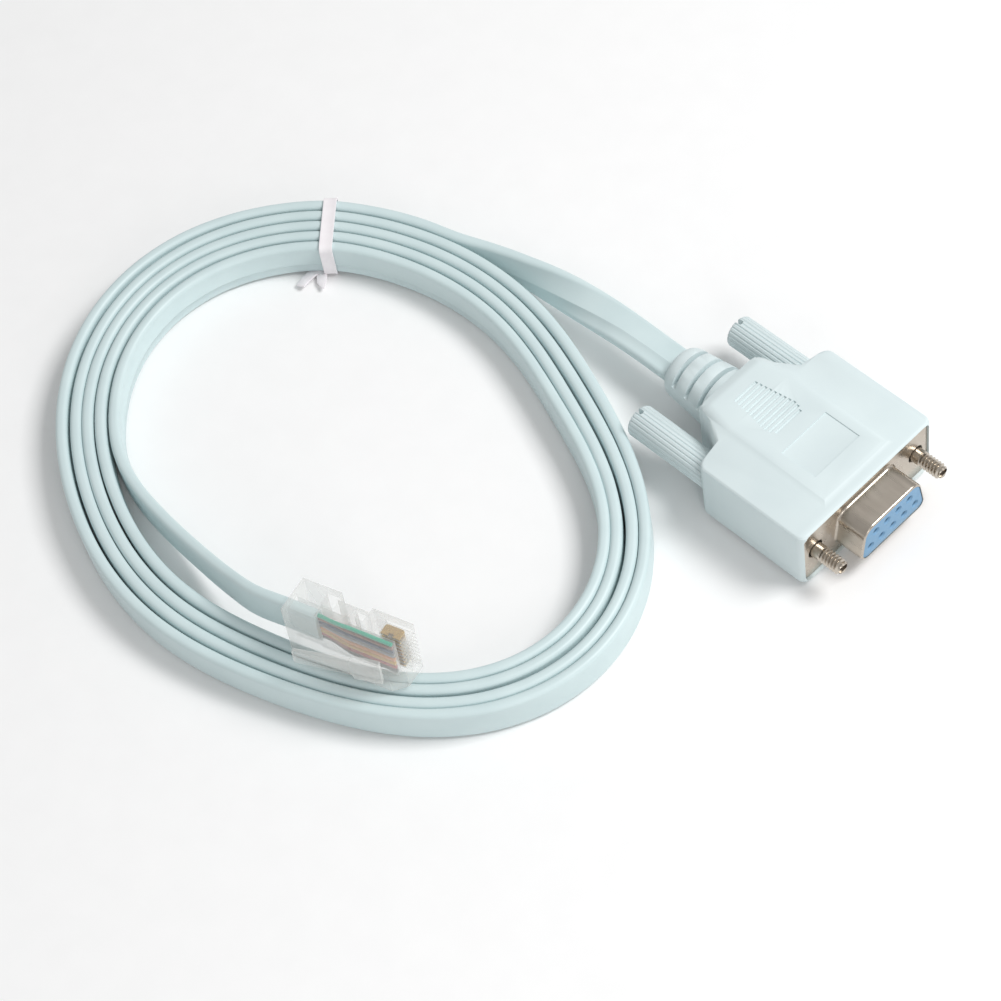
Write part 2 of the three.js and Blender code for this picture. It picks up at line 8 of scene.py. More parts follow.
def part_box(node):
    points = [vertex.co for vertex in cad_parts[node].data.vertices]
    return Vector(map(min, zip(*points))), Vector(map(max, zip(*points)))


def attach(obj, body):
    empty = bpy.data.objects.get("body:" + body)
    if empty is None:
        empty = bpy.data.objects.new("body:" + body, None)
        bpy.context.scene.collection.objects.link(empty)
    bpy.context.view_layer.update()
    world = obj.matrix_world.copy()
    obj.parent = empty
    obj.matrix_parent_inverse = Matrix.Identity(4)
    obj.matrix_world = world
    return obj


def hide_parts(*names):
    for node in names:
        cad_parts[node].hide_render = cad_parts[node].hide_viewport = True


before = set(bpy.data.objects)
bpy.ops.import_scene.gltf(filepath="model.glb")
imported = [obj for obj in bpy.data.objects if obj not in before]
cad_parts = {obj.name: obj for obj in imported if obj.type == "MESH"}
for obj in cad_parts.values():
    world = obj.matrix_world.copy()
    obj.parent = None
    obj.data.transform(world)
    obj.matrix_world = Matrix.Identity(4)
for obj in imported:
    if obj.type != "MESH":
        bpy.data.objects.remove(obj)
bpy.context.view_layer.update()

mm = 0.001

# Camera, studio floor and soft light: the cable lies on a pale sheet, seen from above its
# socket end. The camera stands where the photograph's camera stood.
camera_data = bpy.data.cameras.new("studio_camera")
camera_data.sensor_width = 36.0
camera_data.lens = 107.9
camera_data.clip_start = 0.01
camera = bpy.data.objects.new("studio_camera", camera_data)
bpy.context.scene.collection.objects.link(camera)
camera.rotation_mode = "QUATERNION"
camera_azimuth = math.radians(-35.415)
camera_elevation = math.radians(55.291)
camera_roll = math.radians(-11.521)
camera_distance = 515.9 * mm
camera_target = Vector((-32.6, -36.97, 0.0)) * mm
towards_camera = Vector((
    math.cos(camera_azimuth) * math.cos(camera_elevation),
    math.sin(camera_azimuth) * math.cos(camera_elevation),
    math.sin(camera_elevation),
))
camera.location = camera_target + towards_camera * camera_distance
level = (-towards_camera).to_track_quat("-Z", "Y")
camera.rotation_quaternion = level @ Euler((0, 0, camera_roll)).to_quaternion()
bpy.context.scene.camera = camera


def srgb(code):
    channels = [int(code[i:i + 2], 16) / 255 for i in (0, 2, 4)]
    linear = [c / 12.92 if c <= 0.04045 else ((c + 0.055) / 1.055) ** 2.4 for c in channels]
    return (*linear, 1.0)


def add_node(tree, kind, inputs=None, **settings):
    node = tree.nodes.new(kind)
    for name, value in settings.items():
        setattr(node, name, value)
    for name, value in (inputs or {}).items():
        if isinstance(value, bpy.types.NodeSocket):
            tree.links.new(value, node.inputs[name])
        else:
            node.inputs[name].default_value = value
    return node


def new_material(name):
    material = bpy.data.materials.new(name)
    material.use_nodes = True
    tree = material.node_tree
    tree.nodes.clear()
    shader = add_node(tree, "ShaderNodeBsdfPrincipled")
    output = add_node(tree, "ShaderNodeOutputMaterial")
    tree.links.new(shader.outputs["BSDF"], output.inputs["Surface"])
    return material, tree, shader


def dress(piece, material):
    piece.data.materials.clear()
    piece.data.materials.append(material)


paper_white, tree, shader = new_material("matt_paper_sheet")
grain = add_node(tree, "ShaderNodeTexNoise", {"Scale": 900.0, "Detail": 2.0})
tint = add_node(tree, "ShaderNodeMix", {"Factor": grain.outputs["Fac"]}, data_type="RGBA")
tint.inputs["A"].default_value = srgb("f4f4f4")
tint.inputs["B"].default_value = srgb("f8f8f8")
tree.links.new(tint.outputs["Result"], shader.inputs["Base Color"])
shader.inputs["Roughness"].default_value = 0.85
bpy.ops.object.select_all(action="DESELECT")
bpy.ops.mesh.primitive_plane_add(size=6.0, location=(0, 0, -0.0002))
sheet_floor = bpy.context.object
sheet_floor.name = "studio_floor"
dress(sheet_floor, paper_white)

world = bpy.data.worlds.new("white_studio")
bpy.context.scene.world = world
world.use_nodes = True
world.node_tree.nodes["Background"].inputs["Color"].default_value = srgb("ffffff")
world.node_tree.nodes["Background"].inputs["Strength"].default_value = 0.48
bpy.context.scene.view_settings.view_transform = "Standard"


def add_softbox(name, place, aim, size, watts):
    light = bpy.data.lights.new(name, "AREA")
    light.shape = "RECTANGLE"
    light.size, light.size_y = size
    light.energy = watts
    lamp = bpy.data.objects.new(name, light)
    bpy.context.scene.collection.objects.link(lamp)
    lamp.location = place
    lamp.rotation_mode = "QUATERNION"
    lamp.rotation_quaternion = (Vector(aim) - Vector(place)).to_track_quat("-Z", "Y")


add_softbox("overhead_softbox", (0.32, 0.36, 0.72), (-0.03, -0.03, 0.0), (0.34, 0.34), 5.3)
add_softbox("front_strip", (0.45, -0.25, 0.28), (0.0, -0.02, 0.0), (0.12, 0.3), 0.5)

# Flat cable: eight cores side by side in a pale aqua PVC jacket, 7 mm wide and 2.1 mm thick.
# It leaves the strain relief lying flat, turns on its edge, runs round the coil from the
# outside in, and climbs into the modular plug.
cable_width = 7.0 * mm
cable_thickness = 2.1 * mm
cable_corner = 0.85 * mm
ridge_place = -0.85 * mm
ridge_height = 0.13 * mm
ridge_half_width = 0.22 * mm
connector_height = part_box("hood")[1].z / 2
shroud_front = 5.9
face_of_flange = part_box("d_shell")[1].x - shroud_front * mm

# Route points from the strain relief to the coil: x, y, z in millimetres and the lean.
socket_end_route = [
    (-40.5, 0.0, 7.3, 90),
    (-42.7, 0.0, 7.3, 90),
    (-49.0, 0.1, 7.2, 90),
    (-56.0, 0.3, 6.7, 84),
    (-63.0, 0.4, 5.9, 66),
    (-71.0, 0.2, 5.0, 38),
    (-79.0, -0.5, 4.2, 14),
    (-86.0, -1.7, 3.7, 3),
]
plug_end_route = [
    (-103.4, -77.0, 3.6, 0),
    (-97.2, -78.9, 3.8, 0),
    (-89.5, -80.1, 4.4, 0),
    (-79.3, -81.0, 5.8, 0),
    (-69.1, -81.8, 8.4, -1),
    (-61.5, -82.0, 10.9, -3),
]
coil_centre = (-72.4, -49.8)
coil_radius = 52.4
coil_waves = [(1, 2.0, 170), (2, 7.6, -6), (3, 1.0, 5), (4, 1.1, -3)]
coil_pitch = 2.45
coil_laps = 4
coil_start = 115
coil_end = 214
coil_turn = 360 * coil_laps + coil_end - coil_start
coil_step = 9
coil_height = 3.5
slack_waves = [(0.1, 1.37), (0.06, 3.1)]
lean_wave = (1.6, 0.61, 40)
tie_angle = 142.0
tie_skew = 6.0
tie_lift = 0.55
tie_reach = 9.0
tie_hold = 25.0
plug_rear = Vector((-53.0, -80.2, 12.7))
plug_yaw, plug_pitch, plug_roll = 16.3, -2.35, -4.1
plug_turn = Matrix.Rotation(math.radians(plug_yaw), 3, "Z")
plug_turn = plug_turn @ Matrix.Rotation(math.radians(plug_pitch), 3, "Y")
plug_turn = plug_turn @ Matrix.Rotation(math.radians(plug_roll), 3, "X")
jacket_in_plug = 4.7
route_step = 1.4
section_corner_steps = 5


def coil_point(turned):
    """x, y, z and lean of the cable in the coil, raised a little where the tie passes under."""
    angle = math.radians(coil_start + turned)
    radius = coil_radius - coil_pitch * turned / 360
    for waves, height, phase in coil_waves:
        radius += height * math.cos(waves * (angle - math.radians(phase)))
    from_tie = (coil_start + turned - tie_angle + 180) % 360 - 180
    along = math.radians(from_tie) * radius
    height = coil_height + tie_lift * math.exp(-(along / tie_reach) ** 2)
    loose = 1 - math.exp(-(along / tie_hold) ** 2)
    radius += loose * sum(swing * math.sin(math.radians(rate * turned)) for swing, rate in slack_waves)
    most_lean, lean_rate, lean_phase = lean_wave
    return (
        coil_centre[0] + radius * math.cos(angle),
        coil_centre[1] + radius * math.sin(angle),
        height,
        most_lean * math.sin(math.radians(lean_rate * turned + lean_phase)) * loose,
    )


def plug_point(inward, across=0.0, up=0.0):
    return plug_rear + plug_turn @ Vector((inward, across, up))


def smooth_route(points, step):
    """Centripetal spline through x, y, z, lean points, in even steps of its length."""
    rows = [Vector(p[:3]) for p in points]
    leans = [p[3] for p in points]
    dense = []
    for i in range(len(rows) - 1):
        before = rows[i - 1] if i else 2 * rows[0] - rows[1]
        after = rows[i + 2] if i + 2 < len(rows) else 2 * rows[-1] - rows[-2]
        knots = (before, rows[i], rows[i + 1], after)
        spans = [math.sqrt((b - a).length) for a, b in zip(knots, knots[1:])]
        t0, t1, t2, t3 = 0.0, spans[0], spans[0] + spans[1], sum(spans)
        pieces = max(2, int((rows[i + 1] - rows[i]).length / 0.4))
        for k in range(pieces):
            part = k / pieces
            t = t1 + (t2 - t1) * part
            a1 = before.lerp(rows[i], (t - t0) / (t1 - t0))
            a2 = rows[i].lerp(rows[i + 1], (t - t1) / (t2 - t1))
            a3 = rows[i + 1].lerp(after, (t - t2) / (t3 - t2))
            b1 = a1.lerp(a2, (t - t0) / (t2 - t0))
            b2 = a2.lerp(a3, (t - t1) / (t3 - t1))
            dense.append((b1.lerp(b2, (t - t1) / (t2 - t1)), leans[i] + (leans[i + 1] - leans[i]) * part))
    dense.append((rows[-1], leans[-1]))
    lengths = [0.0]
    for (a, _), (b, _) in zip(dense, dense[1:]):
        lengths.append(lengths[-1] + (b - a).length)
    count = round(lengths[-1] / step)
    even = []
    j = 0
    for n in range(count + 1):
        want = lengths[-1] * n / count
        while j < len(lengths) - 2 and lengths[j + 1] < want:
            j += 1
        part = (want - lengths[j]) / (lengths[j + 1] - lengths[j])
        (here, here_lean), (there, there_lean) = dense[j], dense[j + 1]
        even.append((here.lerp(there, part), here_lean + (there_lean - here_lean) * part))
    return even, lengths[-1]


def flat_section(width, thickness, corner, corner_steps):
    """Rounded flat section as (across thickness, along width), with the faint moulding ridge."""
    ring = []
    centres = [(1, 1), (-1, 1), (-1, -1), (1, -1)]
    for quarter, (sx, sy) in enumerate(centres):
        for k in range(corner_steps + 1):
            angle = math.radians(90 * quarter + 90 * k / corner_steps)
            ring.append((
                sx * (thickness / 2 - corner) + corner * math.cos(angle),
                sy * (width / 2 - corner) + corner * math.sin(angle),
            ))
    ridge = [
        (thickness / 2, ridge_place - ridge_half_width),
        (thickness / 2 + ridge_height, ridge_place - ridge_half_width * 0.35),
        (thickness / 2 + ridge_height, ridge_place + ridge_half_width * 0.35),
        (thickness / 2, ridge_place + ridge_half_width),
    ]
    return ring + ridge


cable_points = [(x, y, z, lean) for x, y, z, lean in socket_end_route]
cable_points += [coil_point(turned) for turned in range(0, coil_turn + 1, coil_step)]
cable_points += plug_end_route
for inward in (-1.5, 1.5, jacket_in_plug):
    cable_points.append((*plug_point(inward), plug_roll))
connector_shift = face_of_flange / mm
cable_path, cable_length = smooth_route(cable_points, route_step)
cable_ring = flat_section(cable_width, cable_thickness, cable_corner, section_corner_steps)
cable_vertices = []
for i, (centre, lean) in enumerate(cable_path):
    ahead = cable_path[min(i + 1, len(cable_path) - 1)][0]
    behind = cable_path[max(i - 1, 0)][0]
    tangent = (ahead - behind).normalized()
    side = Vector((0, 0, 1)).cross(tangent).normalized()
    above = tangent.cross(side)
    thick = side * math.cos(math.radians(lean)) + above * math.sin(math.radians(lean))
    wide = tangent.cross(thick)
    place = (centre + Vector((connector_shift, 0, 0))) * mm
    cable_vertices += [place + thick * a + wide * b for a, b in cable_ring]
ring_size = len(cable_ring)
cable_faces = []
for i in range(len(cable_path) - 1):
    for k in range(ring_size):
        a, b = i * ring_size + k, i * ring_size + (k + 1) % ring_size
        cable_faces.append((a, b, b + ring_size, a + ring_size))
cable_faces.append(tuple(reversed(range(ring_size))))
cable_faces.append(tuple(range((len(cable_path) - 1) * ring_size, len(cable_path) * ring_size)))
cable_mesh = bpy.data.meshes.new("flat_cable")
cable_mesh.from_pydata(cable_vertices, [], cable_faces)
flat_cable = bpy.data.objects.new("flat_cable", cable_mesh)
bpy.context.scene.collection.objects.link(flat_cable)


def recalculate_outwards(piece):
    tools = bmesh.new()
    tools.from_mesh(piece.data)
    bmesh.ops.recalc_face_normals(tools, faces=tools.faces[:])
    tools.to_mesh(piece.data)
    tools.free()


def smooth_by_angle(piece, degrees):
    bpy.ops.object.select_all(action="DESELECT")
    piece.select_set(True)
    bpy.context.view_layer.objects.active = piece
    bpy.ops.object.shade_smooth_by_angle(angle=math.radians(degrees))


recalculate_outwards(flat_cable)
smooth_by_angle(flat_cable, 50)

# Soft PVC, extruded: satin, slightly milky, with a very faint waviness from the die.
jacket_pvc, tree, shader = new_material("extruded_soft_pvc")
place = add_node(tree, "ShaderNodeTexCoord")
mottle = add_node(
    tree, "ShaderNodeTexNoise", {"Vector": place.outputs["Object"], "Scale": 160.0, "Detail": 3.0}
)
tint = add_node(tree, "ShaderNodeMix", {"Factor": mottle.outputs["Fac"]}, data_type="RGBA")
tint.inputs["A"].default_value = srgb("c6d8da")
tint.inputs["B"].default_value = srgb("d2e2e3")
tree.links.new(tint.outputs["Result"], shader.inputs["Base Color"])
gloss = add_node(
    tree, "ShaderNodeMapRange", {"Value": mottle.outputs["Fac"], "To Min": 0.36, "To Max": 0.5}
)
tree.links.new(gloss.outputs["Result"], shader.inputs["Roughness"])
waviness = add_node(
    tree, "ShaderNodeTexNoise", {"Vector": place.outputs["Object"], "Scale": 420.0, "Detail": 2.0}
)
relief = add_node(
    tree, "ShaderNodeBump", {"Height": waviness.outputs["Fac"], "Strength": 0.12, "Distance": 0.0001}
)
tree.links.new(relief.outputs["Normal"], shader.inputs["Normal"])
shader.inputs["IOR"].default_value = 1.53
dress(flat_cable, jacket_pvc)
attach(flat_cable, "root")
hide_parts("cable_coil", "cable_lead_socket_end", "cable_lead_plug_end")

# Hood of the nine-way connector: one moulding of soft PVC over the shell, with a raised panel
# on both faces, a tapered neck, finger ribs and a bare recessed label panel. The slotted
# sleeve behind the neck keeps the cable from kinking where it leaves.
hood_front = 0.6
shoulder_rear = -23.0
shoulder_half_width = 16.2
shoulder_corner = 1.6
neck_rings = [(-23.6, 10.8), (-29.0, 7.4), (-31.0, 7.0)]
shoulder_half_height = 6.7
panel_rear, panel_front = -23.6, -0.95
panel_half_width = 8.917
panel_tail_length = 7.3
panel_tail_half_width = 7.1
panel_half_height = 7.3
panel_foot = 6.6
panel_slope = 1.52
sleeve_profile = [(-42.4, 0.0), (-42.4, 3.7), (-42.3, 4.05), (-42.0, 4.4), (-41.5, 4.7), (-40.8, 4.88)]
sleeve_profile += [(-31.0, 5.95), (-28.0, 5.95), (-28.0, 0.0)]
sleeve_slots = (-33.05, -36.25, -39.45)
slot_width = 0.95
slot_floor = 1.7
slot_reach = 7.5
above_hood = 8.0
flange_half_size = (15.405, 6.25)
flange_corner = 1.4
shroud_half_width = 8.165
shroud_half_height = 3.95
shroud_corner = 2.0
shroud_taper = 1.393
pocket_gap = 0.12
screw_offset = 12.495
screw_hole_radius = 1.7
grip_radius = 3.0
grip_front = -20.6
grip_gap = 0.3
channel_rear = -26.0
rib_places = [-26.55 + 0.95 * n for n in range(11)]
rib_outline = [(-27.0, 2.6), (-18.5, 3.9), (-17.0, 3.1)]
rib_radius = 0.3
rib_sink = 0.02
label_rear, label_front = -13.6, -6.1
label_half_width = 5.5
label_depth = 0.18


def connector_place(x, y, z):
    """Metres in the frame from millimetres off the middle of the flange's front face."""
    return Vector(((x + connector_shift) * mm, y * mm, z * mm + connector_height))


def activate(piece):
    bpy.ops.object.select_all(action="DESELECT")
    piece.select_set(True)
    bpy.context.view_layer.objects.active = piece


def edit(piece):
    activate(piece)
    bpy.ops.object.mode_set(mode="EDIT")
    bpy.ops.mesh.select_all(action="DESELECT")


def stop_editing():
    bpy.ops.object.mode_set(mode="OBJECT")


def pick(kind, test):
    """Selects the vertices, edges or faces of the mesh in edit mode that pass a test."""
    bpy.ops.mesh.select_mode(type=kind)
    bpy.ops.mesh.select_all(action="DESELECT")
    data = bpy.context.edit_object.data
    tools = bmesh.from_edit_mesh(data)
    for item in {"VERT": tools.verts, "EDGE": tools.edges, "FACE": tools.faces}[kind]:
        if test(item):
            item.select_set(True)
    bmesh.update_edit_mesh(data)


def add_block(name, low, high, place=connector_place):
    """A cube primitive between two corners, given in the millimetres of one of the two ends."""
    low, high = place(*low), place(*high)
    bpy.ops.object.select_all(action="DESELECT")
    bpy.ops.mesh.primitive_cube_add(size=1, location=(low + high) / 2, scale=high - low)
    bpy.ops.object.transform_apply(location=True, rotation=True, scale=True)
    block = bpy.context.object
    block.name = block.data.name = name
    return block


def extrude_by(x, y=0.0, z=0.0):
    bpy.ops.mesh.extrude_region_move(TRANSFORM_OT_translate={"value": (x, y, z)})


def extrude_back(distance, narrowing):
    """Extrudes the picked rear face backwards and narrows it about the connector's middle."""
    extrude_by(-distance * mm)
    bpy.ops.transform.resize(value=(1, narrowing, 1), center_override=connector_place(0, 0, 0))


def lengthwise(edge):
    a, b = (v.co for v in edge.verts)
    return abs(a.x - b.x) > 0.9 * (a - b).length


def upright(edge):
    a, b = (v.co for v in edge.verts)
    return abs(a.z - b.z) > 0.9 * (a - b).length


def rim_of(axis, sign):
    """Tests for edges between a face that looks along an axis and one that doesn't."""
    def test(edge):
        facing = [f.normal[axis] * sign > 0.99 for f in edge.link_faces]
        return len(facing) == 2 and facing[0] != facing[1]
    return test


def bevel_picked(width, segments):
    bpy.ops.mesh.bevel(offset=width * mm, segments=segments, profile=0.5)


def apply_modifier(piece, kind, **settings):
    activate(piece)
    modifier = piece.modifiers.new(kind.lower(), kind)
    for name, value in settings.items():
        setattr(modifier, name, value)
    bpy.ops.object.modifier_apply(modifier=modifier.name)


def soften_edges(piece, width, segments, degrees):
    """Rounds every edge that turns by more than an angle, as a mould leaves it."""
    apply_modifier(
        piece,
        "BEVEL",
        width=width * mm,
        segments=segments,
        limit_method="ANGLE",
        angle_limit=math.radians(degrees),
    )


def combine(piece, other, operation):
    apply_modifier(piece, "BOOLEAN", object=other, operation=operation, solver="EXACT")
    bpy.data.objects.remove(other)


def add_turned(name, profile, steps, centre):
    """Draws x, radius points by extruding a vertex, and spins them round a line along X."""
    bpy.ops.object.select_all(action="DESELECT")
    start = centre + Vector((profile[0][0], 0, profile[0][1])) * mm
    bpy.ops.mesh.primitive_plane_add(size=0.001, location=start)
    bpy.ops.object.transform_apply(location=True, rotation=True, scale=True)
    piece = bpy.context.object
    piece.name = piece.data.name = name
    bpy.ops.object.mode_set(mode="EDIT")
    bpy.ops.mesh.select_mode(type="VERT")
    bpy.ops.mesh.select_all(action="SELECT")
    bpy.ops.mesh.merge(type="CENTER")
    for (x0, r0), (x1, r1) in zip(profile, profile[1:]):
        extrude_by((x1 - x0) * mm, 0, (r1 - r0) * mm)
    bpy.ops.mesh.select_all(action="SELECT")
    bpy.ops.mesh.spin(steps=steps, angle=2 * math.pi, center=centre, axis=(1, 0, 0))
    bpy.ops.mesh.select_all(action="SELECT")
    bpy.ops.mesh.remove_doubles(threshold=0.000002)
    bpy.ops.mesh.select_all(action="SELECT")
    bpy.ops.mesh.normals_make_consistent(inside=False)
    stop_editing()
    return piece


def add_d_prism(name, back, front, inset):
    """The keyed D outline of the shroud, its wide side down, between two x places."""
    half_width = shroud_half_width - inset
    half_height = shroud_half_height - inset
    prism = add_block(name, (back, -half_width, -half_height), (front, half_width, half_height))
    edit(prism)
    pick("FACE", lambda face: face.normal.z > 0.9)
    narrowing = 1 - shroud_taper * half_height / shroud_half_height / half_width
    bpy.ops.transform.resize(value=(1, narrowing, 1), center_override=connector_place(0, 0, 0))
    pick("EDGE", lengthwise)
    bevel_picked(shroud_corner - inset, 6)
    stop_editing()
    return prism


moulded_hood = add_block(
    "moulded_hood",
    (shoulder_rear, -shoulder_half_width, -shoulder_half_height),
    (hood_front, shoulder_half_width, shoulder_half_height),
)
edit(moulded_hood)
pick("EDGE", upright)
bevel_picked(shoulder_corner, 5)
pick("FACE", lambda face: face.normal.x < -0.99)
rear, half_width = shoulder_rear, shoulder_half_width - shoulder_corner
for ring_x, ring_half_width in neck_rings:
    extrude_back(rear - ring_x, ring_half_width / half_width)
    rear, half_width = ring_x, ring_half_width
for side in (1, -1):
    pick("EDGE", rim_of(2, side))
    bevel_picked(0.7, 3)
pick("EDGE", rim_of(0, 1))
bevel_picked(0.3, 2)
stop_editing()

raised_panel = add_block(
    "raised_panel",
    (panel_rear, -panel_half_width, -panel_foot),
    (panel_front, panel_half_width, panel_foot),
)
edit(raised_panel)
pick("FACE", lambda face: face.normal.x < -0.99)
extrude_back(panel_tail_length, panel_tail_half_width / panel_half_width)
pick("EDGE", lambda edge: upright(edge) and edge.verts[0].co.x < connector_place(-30, 0, 0).x)
bevel_picked(1.6, 4)
for side in (1, -1):
    pick("FACE", lambda face: face.normal.z * side > 0.9)
    bpy.ops.mesh.inset(thickness=panel_slope * mm, depth=(panel_half_height - panel_foot) * mm)
    bpy.ops.mesh.select_mode(type="EDGE")
    pick("EDGE", rim_of(2, side))
    bevel_picked(0.5, 3)
stop_editing()
combine(moulded_hood, raised_panel, "UNION")

sleeve = add_turned("strain_relief", sleeve_profile, 48, connector_place(0, 0, 0))
for slot_x in sleeve_slots:
    for side in (1, -1):
        low, high = sorted((side * slot_floor, side * above_hood))
        back, front = slot_x - slot_width / 2, slot_x + slot_width / 2
        cutter = add_block("slot_cutter", (back, -slot_reach, low), (front, slot_reach, high))
        combine(sleeve, cutter, "DIFFERENCE")
combine(moulded_hood, sleeve, "UNION")

flange_pocket = add_block(
    "flange_pocket",
    (-0.95, -flange_half_size[0] - pocket_gap, -flange_half_size[1] - pocket_gap),
    (2.0, flange_half_size[0] + pocket_gap, flange_half_size[1] + pocket_gap),
)
edit(flange_pocket)
pick("EDGE", lengthwise)
bevel_picked(flange_corner, 5)
stop_editing()
combine(moulded_hood, flange_pocket, "DIFFERENCE")
combine(moulded_hood, add_d_prism("shell_pocket", -7.0, 0.5, -0.3), "DIFFERENCE")
for side in (1, -1):
    grip_channel = add_turned("grip_channel", [
        (channel_rear, 0.0),
        (channel_rear, grip_radius + grip_gap),
        (grip_front + grip_gap, grip_radius + grip_gap),
        (grip_front + grip_gap, screw_hole_radius),
        (2.0, screw_hole_radius),
        (2.0, 0.0),
    ], 40, connector_place(0, side * screw_offset, 0))
    combine(moulded_hood, grip_channel, "DIFFERENCE")


def rib_half_length(x):
    """Half length of a finger rib at x, in the ribbed patch's tapered outline."""
    for (x0, half0), (x1, half1) in zip(rib_outline, rib_outline[1:]):
        if x < x1:
            return half0 + (half1 - half0) * (x - x0) / (x1 - x0)


for side in (1, -1):
    for rib_x in rib_places:
        reach = rib_half_length(rib_x)
        bpy.ops.object.select_all(action="DESELECT")
        bpy.ops.mesh.primitive_cylinder_add(
            vertices=12,
            radius=rib_radius * mm,
            depth=2 * reach * mm,
            location=connector_place(rib_x, 0, side * (panel_half_height - rib_sink)),
            rotation=(math.pi / 2, 0, 0),
        )
        bpy.ops.object.transform_apply(location=True, rotation=True, scale=True)
        combine(moulded_hood, bpy.context.object, "DIFFERENCE")
    low, high = sorted((side * (panel_half_height - label_depth), side * above_hood))
    label_panel = add_block(
        "label_panel",
        (label_rear, -label_half_width, low),
        (label_front, label_half_width, high),
    )
    combine(moulded_hood, label_panel, "DIFFERENCE")
soften_edges(moulded_hood, 0.1, 2, 28)
smooth_by_angle(moulded_hood, 40)

# Soft PVC, moulded: a satin skin with the faint haze of the mould's spark-eroded steel.
moulded_pvc, tree, shader = new_material("moulded_soft_pvc")
place = add_node(tree, "ShaderNodeTexCoord")
mottle = add_node(
    tree, "ShaderNodeTexNoise", {"Vector": place.outputs["Object"], "Scale": 120.0, "Detail": 3.0}
)
tint = add_node(tree, "ShaderNodeMix", {"Factor": mottle.outputs["Fac"]}, data_type="RGBA")
tint.inputs["A"].default_value = srgb("d0dddf")
tint.inputs["B"].default_value = srgb("dae6e7")
tree.links.new(tint.outputs["Result"], shader.inputs["Base Color"])
gloss = add_node(
    tree, "ShaderNodeMapRange", {"Value": mottle.outputs["Fac"], "To Min": 0.42, "To Max": 0.54}
)
tree.links.new(gloss.outputs["Result"], shader.inputs["Roughness"])
haze = add_node(
    tree, "ShaderNodeTexNoise", {"Vector": place.outputs["Object"], "Scale": 2600.0, "Detail": 2.0}
)
relief = add_node(
    tree, "ShaderNodeBump", {"Height": haze.outputs["Fac"], "Strength": 0.08, "Distance": 0.00005}
)
tree.links.new(relief.outputs["Normal"], shader.inputs["Normal"])
shader.inputs["IOR"].default_value = 1.53
dress(moulded_hood, moulded_pvc)
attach(moulded_hood, "root")
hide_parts("hood")

# Shell of the connector: steel pressed in one piece with its D-shaped shroud, nickel plated.
# The flange sits in the hood's rim, and the jackscrews pass through its two holes.
flange_thickness = 0.8
flange_edge = 0.12
shroud_wall = 0.4
shroud_rim = 0.35
shroud_foot = 0.5
shroud_foot_reach = 8.6
hole_lip = 0.32

steel_shell = add_block(
    "steel_shell",
    (-flange_thickness, -flange_half_size[0], -flange_half_size[1]),
    (0.0, flange_half_size[0], flange_half_size[1]),
)
edit(steel_shell)
pick("EDGE", lengthwise)
bevel_picked(flange_corner, 5)
pick("EDGE", rim_of(0, 1))
bevel_picked(flange_edge, 2)
stop_editing()
shroud = add_d_prism("shroud", -0.5, shroud_front, 0.0)
edit(shroud)
pick("EDGE", rim_of(0, 1))
bevel_picked(shroud_rim, 4)
stop_editing()
combine(steel_shell, shroud, "UNION")


def on_shroud_foot(edge):
    """Edges where the shroud rises from the flange's face."""
    flat = [f for f in edge.link_faces if f.normal.x > 0.99]
    walls = [f for f in edge.link_faces if abs(f.normal.x) < 0.01]
    near = all(abs(v.co.y) < shroud_foot_reach * mm for v in edge.verts)
    return len(flat) == 1 and len(walls) == 1 and near


edit(steel_shell)
pick("EDGE", on_shroud_foot)
bevel_picked(shroud_foot, 4)
stop_editing()
combine(steel_shell, add_d_prism("shroud_bore", -2.0, 7.0, shroud_wall), "DIFFERENCE")
for side in (1, -1):
    hole = add_turned("screw_hole", [
        (-2.0, 0.0),
        (-2.0, screw_hole_radius),
        (-flange_edge, screw_hole_radius),
        (0.2, screw_hole_radius + hole_lip),
        (1.0, screw_hole_radius + hole_lip),
        (1.0, 0.0),
    ], 32, connector_place(0, side * screw_offset, 0))
    combine(steel_shell, hole, "DIFFERENCE")
smooth_by_angle(steel_shell, 32)

# Nickel plate: a warm grey mirror, softened by the drawn steel below it and by handling.
nickel, tree, shader = new_material("nickel_plated_steel")
place = add_node(tree, "ShaderNodeTexCoord")
drawn = add_node(tree, "ShaderNodeMapping", {"Vector": place.outputs["Object"], "Scale": (0.15, 1.0, 1.0)})
streaks = add_node(
    tree, "ShaderNodeTexNoise", {"Vector": drawn.outputs["Vector"], "Scale": 900.0, "Detail": 3.0}
)
cloud = add_node(
    tree, "ShaderNodeTexNoise", {"Vector": place.outputs["Object"], "Scale": 240.0, "Detail": 2.0}
)
tint = add_node(tree, "ShaderNodeMix", {"Factor": cloud.outputs["Fac"]}, data_type="RGBA")
tint.inputs["A"].default_value = srgb("b9afa3")
tint.inputs["B"].default_value = srgb("cdc5b9")
tree.links.new(tint.outputs["Result"], shader.inputs["Base Color"])
gloss = add_node(
    tree, "ShaderNodeMapRange", {"Value": streaks.outputs["Fac"], "To Min": 0.22, "To Max": 0.36}
)
tree.links.new(gloss.outputs["Result"], shader.inputs["Roughness"])
relief = add_node(
    tree, "ShaderNodeBump", {"Height": streaks.outputs["Fac"], "Strength": 0.06, "Distance": 0.00005}
)
tree.links.new(relief.outputs["Normal"], shader.inputs["Normal"])
shader.inputs["Metallic"].default_value = 1.0
dress(steel_shell, nickel)
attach(steel_shell, "root")
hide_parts("d_shell")

# Insulator: the blue thermoplastic block inside the shroud, moulded with nine entry holes in
# two rows, the row of five below. The gold plated socket contacts sit behind the holes.
insulator_front = 5.8
insulator_back = -6.7
hole_rows = [(5, -1.42), (4, 1.42)]
hole_pitch = 2.77
hole_profile = [(-2.1, 0.0), (-2.1, 0.9), (5.25, 0.9), (5.25, 0.6), (5.5, 0.6), (5.95, 0.95), (5.95, 0.0)]

